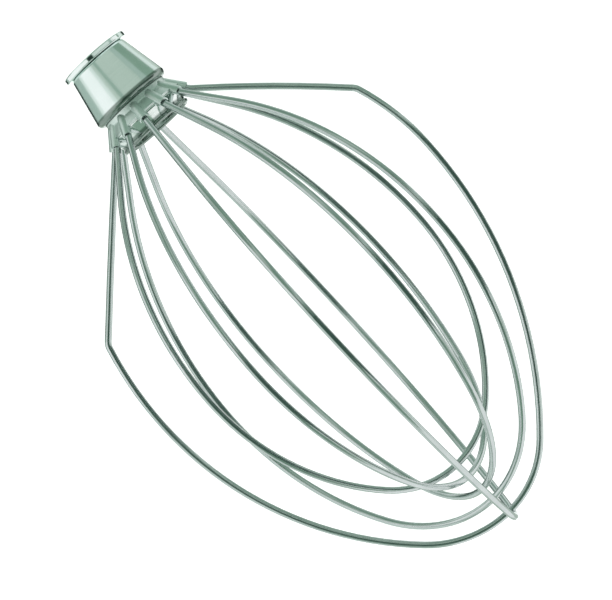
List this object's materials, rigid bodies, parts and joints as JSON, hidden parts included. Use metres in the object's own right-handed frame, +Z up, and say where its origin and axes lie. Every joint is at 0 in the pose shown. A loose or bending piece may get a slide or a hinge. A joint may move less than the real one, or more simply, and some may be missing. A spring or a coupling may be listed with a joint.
{
  "type": "stand mixer wire whisk",
  "caption": "Balloon wire whisk for a stand mixer: nested bent-wire loops held in a fluted flared crown under a tapered metal hub with a bayonet drive bore.",
  "frame": {"origin": "centre of the drive bore's mouth, level with the top of the sleeve's flange", "axes": "+Z up along the drive shaft, out of the bore's mouth; the cage hangs down to -Z; the outer wire loop lies in the XZ plane"},
  "size_m": [0.1352, 0.1278, 0.216],
  "materials": {
    "sleeve_metal": "turned, bright",
    "shell_metal": "drawn and polished",
    "crown_metal": "pressed, satin",
    "cup_metal": "pressed, bright",
    "wire_metal": "drawn wire, bright"
  },
  "bodies": {
    "root": {"drive_sleeve": "sleeve_metal", "hub_shell": "shell_metal", "wire_crown": "crown_metal", "retainer_cup": "cup_metal", "outer_wire_loop": "wire_metal", "cross_wire_loop": "wire_metal", "second_wire_loop": "wire_metal", "third_wire_loop": "wire_metal", "fourth_wire_loop": "wire_metal", "inner_wire_loop": "wire_metal"}
  },
  "joints": []
}
